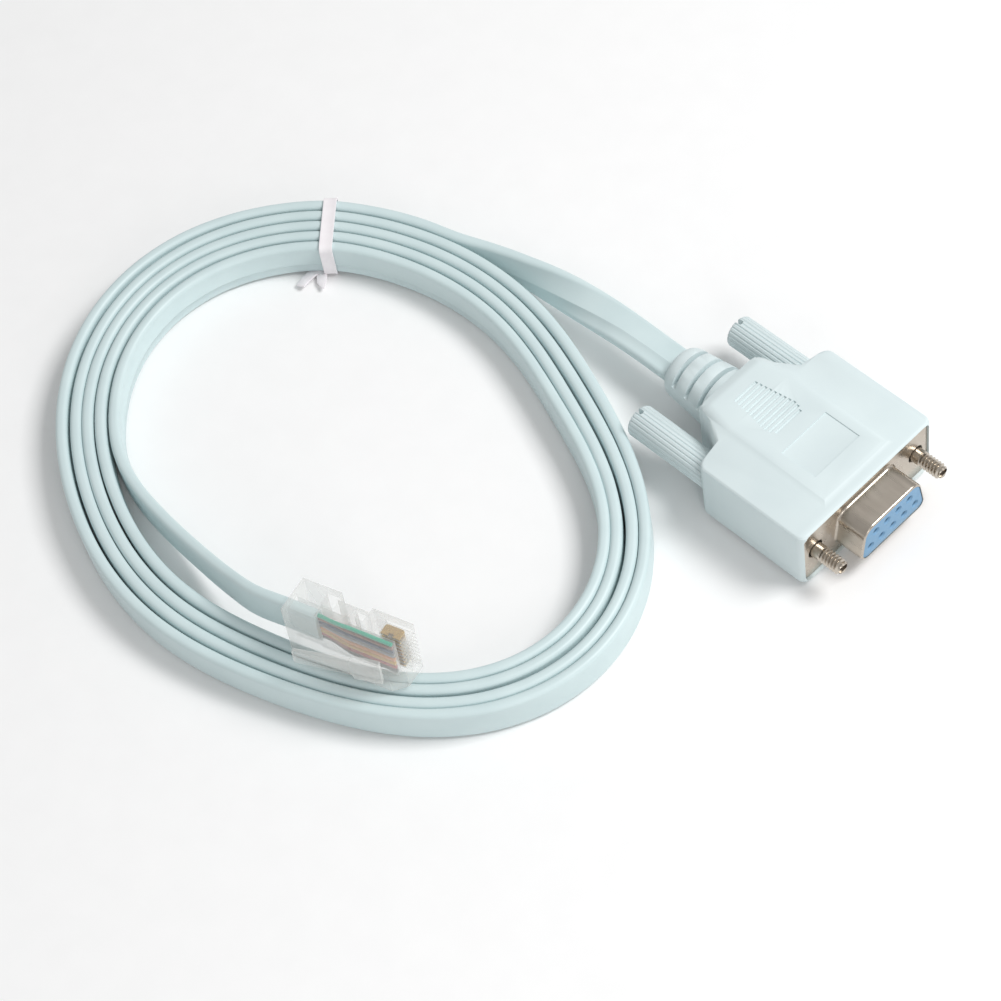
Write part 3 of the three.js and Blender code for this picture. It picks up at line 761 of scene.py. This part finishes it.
blue_block = add_d_prism("blue_insulator", insulator_back, insulator_front, shroud_wall + 0.03)
edit(blue_block)
pick("EDGE", rim_of(0, 1))
bevel_picked(0.12, 2)
stop_editing()
for count, row_height in hole_rows:
    for n in range(count):
        across = (n - (count - 1) / 2) * hole_pitch
        bore = add_turned("contact_bore", hole_profile, 20, connector_place(0, across, row_height))
        combine(blue_block, bore, "DIFFERENCE")
smooth_by_angle(blue_block, 32)

# Glass-filled polyester, moulded: mid blue with a dull sheen and fine fibre speckle.
blue_polyester, tree, shader = new_material("moulded_blue_polyester")
place = add_node(tree, "ShaderNodeTexCoord")
fibre = add_node(
    tree, "ShaderNodeTexNoise", {"Vector": place.outputs["Object"], "Scale": 1500.0, "Detail": 3.0}
)
tint = add_node(tree, "ShaderNodeMix", {"Factor": fibre.outputs["Fac"]}, data_type="RGBA")
tint.inputs["A"].default_value = srgb("6b97ba")
tint.inputs["B"].default_value = srgb("7da6c6")
tree.links.new(tint.outputs["Result"], shader.inputs["Base Color"])
gloss = add_node(tree, "ShaderNodeMapRange", {"Value": fibre.outputs["Fac"], "To Min": 0.42, "To Max": 0.6})
tree.links.new(gloss.outputs["Result"], shader.inputs["Roughness"])
relief = add_node(
    tree, "ShaderNodeBump", {"Height": fibre.outputs["Fac"], "Strength": 0.1, "Distance": 0.00003}
)
tree.links.new(relief.outputs["Normal"], shader.inputs["Normal"])
shader.inputs["IOR"].default_value = 1.57
dress(blue_block, blue_polyester)
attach(blue_block, "root")
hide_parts("insulator")

# Gold flash over brass, on the turned socket contacts: warm, thin and slightly rubbed.
gold_flash, tree, shader = new_material("gold_flash_on_brass")
place = add_node(tree, "ShaderNodeTexCoord")
rub = add_node(
    tree, "ShaderNodeTexNoise", {"Vector": place.outputs["Object"], "Scale": 1800.0, "Detail": 2.0}
)
tint = add_node(tree, "ShaderNodeMix", {"Factor": rub.outputs["Fac"]}, data_type="RGBA")
tint.inputs["A"].default_value = srgb("d6ae62")
tint.inputs["B"].default_value = srgb("ebcb86")
tree.links.new(tint.outputs["Result"], shader.inputs["Base Color"])
gloss = add_node(tree, "ShaderNodeMapRange", {"Value": rub.outputs["Fac"], "To Min": 0.18, "To Max": 0.34})
tree.links.new(gloss.outputs["Result"], shader.inputs["Roughness"])
shader.inputs["Metallic"].default_value = 1.0
for n in range(9):
    dress(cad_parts[f"socket_contact_{n + 1}"], gold_flash)

# Jackscrews: cold-headed steel screws, nickel plated, with a smooth collar in the flange's
# hole and a rolled thread in front of it. Each turns with its thumb grip.
thread_start = 2.0
thread_end = 6.0
thread_pitch = 0.635
thread_radius = 1.42
thread_core = 1.07
shaft_radius = 1.15
collar_radius = 1.38
grip_rear = -40.6
grip_bore_end = -27.6


def add_thread(name):
    """One pitch of thread profile, screwed along X and cut square at both ends."""
    origin = Vector((0, 0, 0))
    bpy.ops.object.select_all(action="DESELECT")
    bpy.ops.mesh.primitive_plane_add(size=0.001, location=origin)
    thread = bpy.context.object
    thread.name = thread.data.name = name
    bpy.ops.object.mode_set(mode="EDIT")
    bpy.ops.mesh.select_mode(type="VERT")
    bpy.ops.mesh.select_all(action="SELECT")
    bpy.ops.mesh.merge(type="CENTER")
    bpy.ops.transform.translate(value=((thread_start - 1.5 * thread_pitch) * mm, 0, thread_core * mm))
    rise = (thread_radius - thread_core) * mm
    for along, up in ((0.42, rise), (0.12, 0.0), (0.42, -rise), (0.04, 0.0)):
        extrude_by(along * thread_pitch * mm, 0, up)
    stop_editing()
    turns = math.ceil((thread_end - thread_start) / thread_pitch) + 2
    apply_modifier(
        thread,
        "SCREW",
        axis="X",
        angle=2 * math.pi,
        screw_offset=thread_pitch * mm,
        iterations=turns,
        steps=28,
        render_steps=28,
        use_merge_vertices=True,
        merge_threshold=0.000002,
    )
    edit(thread)
    bpy.ops.mesh.select_all(action="SELECT")
    bpy.ops.mesh.remove_doubles(threshold=0.000002)
    for cut, outer in ((thread_start, False), (thread_end, True)):
        bpy.ops.mesh.select_all(action="SELECT")
        bpy.ops.mesh.bisect(
            plane_co=(cut * mm, 0, 0),
            plane_no=(1, 0, 0),
            use_fill=True,
            clear_inner=not outer,
            clear_outer=outer,
        )
    bpy.ops.mesh.select_all(action="SELECT")
    bpy.ops.mesh.normals_make_consistent(inside=False)
    stop_editing()
    for vertex in thread.data.vertices:
        x, y, z = vertex.co / mm
        limit = thread_core - 0.12 + max(0.0, thread_end - x) * 0.8
        reach = math.hypot(y, z)
        if reach > limit:
            vertex.co = Vector((x, y * limit / reach, z * limit / reach)) * mm
    return thread


for side, hand in ((1, "left"), (-1, "right")):
    centre = connector_place(0, side * screw_offset, 0)
    screw = add_turned(f"threaded_jackscrew_{hand}", [
        (grip_bore_end + 1.1, 0.0),
        (grip_bore_end + 1.1, shaft_radius),
        (-1.4, shaft_radius),
        (-1.4, collar_radius),
        (thread_start - 0.45, collar_radius),
        (thread_start - 0.2, thread_core),
        (thread_start + 0.1, thread_core),
        (thread_start + 0.1, 0.0),
    ], 28, Vector((0, 0, 0)))
    thread = add_thread("rolled_thread")
    screw.select_set(True)
    bpy.context.view_layer.objects.active = screw
    bpy.ops.object.join()
    screw.data.transform(Matrix.Translation(centre))
    smooth_by_angle(screw, 32)
    dress(screw, nickel)
    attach(screw, f"thumbscrew_{hand}")
    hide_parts(f"jackscrew_{hand}")

# Thumb grips: hard PVC moulded round the screws' tails, with lengthwise ribs for the fingers,
# a rounded end and a slot for a screwdriver.
grip_ribs = 24
rib_depth = 0.2
driver_slot_depth = 1.4
driver_slot_half_width = 0.45
grip_rings = [(-39.9, 1.0), (-40.25, 0.95), (-40.48, 0.86), (grip_rear, 0.72)]

for side, hand in ((1, "left"), (-1, "right")):
    centre = connector_place(0, side * screw_offset, 0)
    bpy.ops.object.select_all(action="DESELECT")
    bpy.ops.mesh.primitive_cylinder_add(
        vertices=grip_ribs * 4,
        radius=grip_radius * mm,
        depth=(grip_front - grip_rings[0][0]) * mm,
        location=centre + Vector(((grip_front + grip_rings[0][0]) / 2 * mm, 0, 0)),
        rotation=(0, math.pi / 2, 0),
    )
    bpy.ops.object.transform_apply(location=True, rotation=True, scale=True)
    grip = bpy.context.object
    grip.name = grip.data.name = f"ribbed_grip_{hand}"
    edit(grip)

    def in_groove(vertex):
        angle = math.atan2(vertex.co.z - centre.z, vertex.co.y - centre.y)
        return round(angle / (2 * math.pi) * grip_ribs * 4) % 4 == 0

    pick("VERT", in_groove)
    shrink = 1 - rib_depth / grip_radius
    bpy.ops.transform.resize(value=(1, shrink, shrink), center_override=centre)
    pick("FACE", lambda face: face.normal.x < -0.99)
    for (x0, share0), (x1, share1) in zip(grip_rings, grip_rings[1:]):
        extrude_by((x1 - x0) * mm)
        ratio = share1 / share0
        bpy.ops.transform.resize(value=(1, ratio, ratio), center_override=centre)
    stop_editing()
    screw_bore = add_turned("screw_bore", [
        (grip_bore_end, 0.0),
        (grip_bore_end, shaft_radius + 0.15),
        (grip_front + 1.0, shaft_radius + 0.15),
        (grip_front + 1.0, 0.0),
    ], 28, centre)
    combine(grip, screw_bore, "DIFFERENCE")
    driver_slot = add_block(
        "driver_slot",
        (grip_rear - 1.0, side * screw_offset - driver_slot_half_width, -4.0),
        (grip_rear + driver_slot_depth, side * screw_offset + driver_slot_half_width, 4.0),
    )
    combine(grip, driver_slot, "DIFFERENCE")
    smooth_by_angle(grip, 24)
    dress(grip, moulded_pvc)
    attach(grip, f"thumbscrew_{hand}")
    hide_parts(f"thumb_grip_{hand}")

# Twist tie: a flat white plastic strip with thicker rims over a thin wire, wrapped round all
# turns of the coil and twisted shut underneath, its two ends left sticking out inside.
strap_width = 2.4
strap_thickness = 0.42
strap_rim = 0.38
strap_web_depth = 0.1
strap_corner = 1.3
strap_floor_gap = 0.06
bundle_width = 12.1
bundle_height = 7.1
bundle_corner = 0.9
tail_width = 2.0
tail_thickness = 0.36
tail_routes = [
    [(-2.6, 0.4, 0.24), (-4.2, 2.1, 0.26), (-5.8, 3.6, 0.32), (-7.4, 4.7, 0.4), (-8.9, 5.5, 0.5)],
    [(-2.4, 0.8, 0.24), (-4.2, 1.6, 0.28), (-6.0, 1.8, 0.4), (-7.8, 1.6, 0.5), (-9.6, 1.2, 0.5)],
]
tail_ends = [0.92, 0.25]
tail_twist = 18

tie_turned = 360 * 2 + tie_angle - coil_start
tie_middle = Vector(coil_point(tie_turned)[:2])
tie_along = Vector(coil_point(tie_turned + 1)[:2]) - Vector(coil_point(tie_turned - 1)[:2])
tie_matrix = Matrix.Translation(Vector((tie_middle.x + connector_shift, tie_middle.y, 0.0)) * mm)
tie_bearing = math.atan2(tie_along.y, tie_along.x) - math.pi / 2 + math.radians(tie_skew)
tie_matrix = tie_matrix @ Matrix.Rotation(tie_bearing, 4, "Z")


def own_place(x, y, z):
    return Vector((x, y, z)) * mm


def add_strap_prism(name, grow, half_width, corner):
    half = bundle_width / 2 + grow
    foot = strap_floor_gap + strap_thickness
    low = (-half, -half_width, foot - grow)
    high = (half, half_width, foot + bundle_height + grow)
    prism = add_block(name, low, high, own_place)
    edit(prism)
    pick("EDGE", lambda edge: abs(edge.verts[0].co.y - edge.verts[1].co.y) > mm)
    bevel_picked(corner, 5)
    stop_editing()
    return prism


twist_tie = add_strap_prism("plastic_twist_tie", strap_thickness, strap_width / 2, strap_corner)
edit(twist_tie)
pick("FACE", lambda face: abs(face.normal.y) < 0.5)
bpy.ops.mesh.inset(thickness=strap_rim * mm, depth=-strap_web_depth * mm, use_boundary=True)
stop_editing()
combine(twist_tie, add_strap_prism("bundle_space", 0.0, strap_width, bundle_corner), "DIFFERENCE")
for route, end_share in zip(tail_routes, tail_ends):
    tail = add_block(
        "tail",
        (0.0, -tail_width / 2, -tail_thickness / 2),
        (1.0, tail_width / 2, tail_thickness / 2),
        own_place,
    )
    edit(tail)
    pick("EDGE", lengthwise)
    bpy.ops.mesh.subdivide(number_cuts=12)
    stop_editing()
    for vertex in tail.data.vertices:
        along = vertex.co.x / mm * (len(route) - 1)
        i = min(int(along), len(route) - 2)
        here, there = Vector(route[i]), Vector(route[i + 1])
        middle = here.lerp(there, along - i)
        ahead = (there - here).normalized()
        side = Vector((0, 0, 1)).cross(ahead).normalized()
        share = 1.0 if along < len(route) - 2 else 1.0 - (1.0 - end_share) * (along - len(route) + 2)
        twist = math.radians(tail_twist) * along / (len(route) - 1)
        side = side * math.cos(twist) + Vector((0, 0, 1)) * math.sin(twist)
        lift = Vector((0, 0, 1)) * (math.sin(twist) * tail_width / 2)
        vertex.co = (middle + lift) * mm + side * (vertex.co.y * share) + Vector((0, 0, vertex.co.z))
    activate(tail)
    twist_tie.select_set(True)
    bpy.context.view_layer.objects.active = twist_tie
    bpy.ops.object.join()
soften_edges(twist_tie, 0.07, 2, 35)
twist_tie.data.transform(tie_matrix)
smooth_by_angle(twist_tie, 35)

# White PVC strip, extruded over its wire: soft gloss, a trace of pink from the pigment.
white_strip, tree, shader = new_material("extruded_white_strip")
place = add_node(tree, "ShaderNodeTexCoord")
creases = add_node(
    tree, "ShaderNodeTexNoise", {"Vector": place.outputs["Object"], "Scale": 700.0, "Detail": 3.0}
)
tint = add_node(tree, "ShaderNodeMix", {"Factor": creases.outputs["Fac"]}, data_type="RGBA")
tint.inputs["A"].default_value = srgb("ece6ea")
tint.inputs["B"].default_value = srgb("f7f4f6")
tree.links.new(tint.outputs["Result"], shader.inputs["Base Color"])
gloss = add_node(
    tree, "ShaderNodeMapRange", {"Value": creases.outputs["Fac"], "To Min": 0.3, "To Max": 0.42}
)
tree.links.new(gloss.outputs["Result"], shader.inputs["Roughness"])
relief = add_node(
    tree, "ShaderNodeBump", {"Height": creases.outputs["Fac"], "Strength": 0.15, "Distance": 0.0001}
)
tree.links.new(relief.outputs["Normal"], shader.inputs["Normal"])
dress(twist_tie, white_strip)
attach(twist_tie, "root")
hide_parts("twist_tie")

# Modular plug: one clear polycarbonate moulding, crimped on the cable. It lies on its side;
# the blades are on the far side, the latch on the near one.
plug_length = 21.46
plug_half_width = 5.84
plug_half_height = 3.25
rear_rise = 0.6
rear_block_end = 7.6
waist_end = 13.7
waist_depth = 0.95
nose_chamfer = 2.1
blade_pitch = 1.02
blade_slot_width = 0.62
blade_start = 16.3
blade_slot_gap = 0.15
plug_matrix = Matrix.Translation((plug_rear + Vector((connector_shift, 0, 0))) * mm) @ plug_turn.to_4x4()


def crosswise(edge):
    a, b = (v.co for v in edge.verts)
    return abs(a.z - b.z) > 0.9 * (a - b).length


clear_plug = add_block(
    "clear_modular_plug",
    (0.0, -plug_half_height, -plug_half_width),
    (plug_length, plug_half_height, plug_half_width),
    own_place,
)
edit(clear_plug)
bpy.ops.mesh.select_all(action="SELECT")
bpy.ops.mesh.bisect(
    plane_co=own_place(plug_length - nose_chamfer, -plug_half_height, 0),
    plane_no=(1, -1, 0),
    use_fill=True,
    clear_outer=True,
)
stop_editing()
rear_block = add_block(
    "rear_block",
    (0.0, 1.0, -plug_half_width),
    (rear_block_end, plug_half_height + rear_rise, plug_half_width),
    own_place,
)
combine(clear_plug, rear_block, "UNION")
plug_openings = {
    "waist": ((rear_block_end, plug_half_height - waist_depth, -7.0), (waist_end, 6.0, 7.0)),
    "jacket_mouth": ((-1.0, -1.3, -3.75), (5.0, 1.3, 3.75)),
    "core_fan": ((4.9, -1.15, -4.35), (10.6, 0.85, 4.35)),
    "core_channel": ((10.5, -1.05, -4.15), (19.6, 0.0, 4.15)),
    "clamp_window": ((4.4, 1.6, -3.8), (6.8, 6.0, 3.8)),
    "press_window": ((11.2, 1.2, -4.3), (12.8, 6.0, 4.3)),
}
for name, (low, high) in plug_openings.items():
    combine(clear_plug, add_block(name, low, high, own_place), "DIFFERENCE")
for n in range(8):
    across = (n - 3.5) * blade_pitch
    low = (blade_start - blade_slot_gap, 0.6, across - blade_slot_width / 2)
    high = (plug_length + 1.0, 6.0, across + blade_slot_width / 2)
    combine(clear_plug, add_block("blade_slot", low, high, own_place), "DIFFERENCE")
soften_edges(clear_plug, 0.16, 2, 35)
clear_plug.data.transform(plug_matrix)
smooth_by_angle(clear_plug, 35)

# Clear polycarbonate, injection moulded: glossy, faintly grey, with flow marks inside that
# soften what is seen through it.
clear_polycarbonate, tree, shader = new_material("moulded_clear_polycarbonate")
place = add_node(tree, "ShaderNodeTexCoord")
flow = add_node(
    tree, "ShaderNodeTexNoise", {"Vector": place.outputs["Object"], "Scale": 500.0, "Detail": 3.0}
)
tint = add_node(tree, "ShaderNodeMix", {"Factor": flow.outputs["Fac"]}, data_type="RGBA")
tint.inputs["A"].default_value = srgb("ecedea")
tint.inputs["B"].default_value = srgb("f6f6f3")
tree.links.new(tint.outputs["Result"], shader.inputs["Base Color"])
gloss = add_node(tree, "ShaderNodeMapRange", {"Value": flow.outputs["Fac"], "To Min": 0.1, "To Max": 0.2})
tree.links.new(gloss.outputs["Result"], shader.inputs["Roughness"])
relief = add_node(
    tree, "ShaderNodeBump", {"Height": flow.outputs["Fac"], "Strength": 0.12, "Distance": 0.0001}
)
tree.links.new(relief.outputs["Normal"], shader.inputs["Normal"])
rim = add_node(tree, "ShaderNodeLayerWeight", {"Blend": 0.4})
veil = add_node(tree, "ShaderNodeMapRange", {"Value": rim.outputs["Facing"], "To Min": 0.05, "To Max": 0.6})
tree.links.new(veil.outputs["Result"], shader.inputs["Alpha"])
shader.inputs["IOR"].default_value = 1.58
dress(clear_plug, clear_polycarbonate)
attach(clear_plug, "root")
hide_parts("plug_body")

# Latch of the plug: the springy lever of the same moulding, wide at its root near the nose
# and narrow at the thumb end, with a raised rim along its edges.
latch_root = 18.6
latch_thickness = 0.9
latch_angle = 11.5
latch_base_length = 4.9
latch_lever_length = 10.4
latch_half_widths = (2.7, 1.9, 1.5)
latch_step = 0.35
latch_gap = 0.3
lever_rim, lever_dish = 0.38, 0.28
base_rim, base_boss = 0.55, 0.22

spring_latch = add_block(
    "spring_latch",
    (-latch_base_length, -latch_thickness, -latch_half_widths[0]),
    (0.0, 0.0, latch_half_widths[0]),
    own_place,
)
edit(spring_latch)
pick("FACE", lambda face: face.normal.x < -0.9)
for step, share in (
    (latch_step, latch_half_widths[1] / latch_half_widths[0]),
    (latch_lever_length - latch_step, latch_half_widths[2] / latch_half_widths[1]),
):
    extrude_by(-step * mm)
    bpy.ops.transform.resize(value=(1, 1, share), center_override=(0, 0, 0))
base_end = -latch_base_length * mm
pick("FACE", lambda face: face.normal.y < -0.9 and face.calc_center_median().x < base_end - mm)
bpy.ops.mesh.inset(thickness=lever_rim * mm, depth=-lever_dish * mm)
pick("FACE", lambda face: face.normal.y < -0.9 and face.calc_center_median().x > base_end)
bpy.ops.mesh.inset(thickness=base_rim * mm, depth=base_boss * mm)
stop_editing()
soften_edges(spring_latch, 0.16, 3, 35)
latch_place = Matrix.Translation(own_place(latch_root, -plug_half_height - latch_gap, 0))
latch_place = latch_place @ Matrix.Rotation(math.radians(latch_angle), 4, "Z")
spring_latch.data.transform(plug_matrix @ latch_place)
smooth_by_angle(spring_latch, 35)
dress(spring_latch, clear_polycarbonate)
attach(spring_latch, "latch")
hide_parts("plug_latch")

# Contact blades: eight thin brass stampings with a gold flash, pressed down through the
# wires, each with two prongs below and rounded shoulders above.
blade_length = 3.6
blade_low, blade_high = 0.75, 2.75
blade_half_thickness = 0.175
blade_shoulder = 0.45
prong_gap_start, prong_gap_end, prong_gap_top = 17.6, 18.6, 1.35

for n in range(8):
    across = (n - 3.5) * blade_pitch
    blade = add_block(
        f"pierced_blade_{n + 1}",
        (blade_start, blade_low, across - blade_half_thickness),
        (blade_start + blade_length, blade_high, across + blade_half_thickness),
        own_place,
    )
    edit(blade)
    pick("EDGE", lambda edge: crosswise(edge) and edge.verts[0].co.y > 2.0 * mm)
    bevel_picked(blade_shoulder, 3)
    stop_editing()
    prong_gap = add_block(
        "prong_gap",
        (prong_gap_start, 0.0, across - 1.0),
        (prong_gap_end, prong_gap_top, across + 1.0),
        own_place,
    )
    combine(blade, prong_gap, "DIFFERENCE")
    soften_edges(blade, 0.05, 1, 35)
    blade.data.transform(plug_matrix)
    dress(blade, gold_flash)
    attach(blade, "root")
    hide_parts(f"plug_contact_{n + 1}")

# Eight cores of the cable: stranded copper in coloured insulation, fanned out from the
# jacket's end to the pitch of the blades.
core_colours = [
    ("black", "26282b"),
    ("red", "b3262c"),
    ("yellow", "d9ae3c"),
    ("orange", "df8a3a"),
    ("grey", "83868c"),
    ("blue", "2b4468"),
    ("brown", "8d6258"),
    ("green", "3fae93"),
]
core_radius = 0.36
core_pitch_in_jacket = 0.8
core_stations = [4.75, 5.6, 6.4, 7.2, 8.0, 8.8, 9.6, 10.4, 11.2, 15.0, 19.2]
core_profile = [(core_stations[0], 0.0)]
core_profile += [(x, core_radius) for x in core_stations]
core_profile += [(core_stations[-1], 0.0)]
fan_start = 5.2
fan_length = 5.6
core_drop = 0.55
core_wander = 0.14

for n, (colour, code) in enumerate(core_colours):
    core = add_turned(f"insulated_core_{n + 1}", core_profile, 14, Vector((0, 0, 0)))
    for vertex in core.data.vertices:
        part = min(1.0, max(0.0, (vertex.co.x / mm - fan_start) / fan_length))
        eased = part * part * (3 - 2 * part)
        pitch = core_pitch_in_jacket + (blade_pitch - core_pitch_in_jacket) * eased
        wander = core_wander * math.sin(2.3 * n + 1.0) * math.sin(math.pi * part)
        vertex.co.y += (-core_drop * eased + wander) * mm
        vertex.co.z += (n - 3.5) * pitch * mm
    core.data.transform(plug_matrix)
    smooth_by_angle(core, 40)
    insulation, tree, shader = new_material(f"{colour}_core_insulation")
    place = add_node(tree, "ShaderNodeTexCoord")
    dust = add_node(
        tree, "ShaderNodeTexNoise", {"Vector": place.outputs["Object"], "Scale": 1200.0, "Detail": 2.0}
    )
    tint = add_node(tree, "ShaderNodeMix", {"Factor": dust.outputs["Fac"]}, data_type="RGBA")
    base = srgb(code)
    tint.inputs["A"].default_value = tuple(0.88 * c for c in base[:3]) + (1.0,)
    tint.inputs["B"].default_value = tuple(min(1.0, 1.1 * c) for c in base[:3]) + (1.0,)
    tree.links.new(tint.outputs["Result"], shader.inputs["Base Color"])
    gloss = add_node(
        tree, "ShaderNodeMapRange", {"Value": dust.outputs["Fac"], "To Min": 0.3, "To Max": 0.42}
    )
    tree.links.new(gloss.outputs["Result"], shader.inputs["Roughness"])
    dress(core, insulation)
    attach(core, "root")
    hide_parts(f"conductor_{n + 1}")
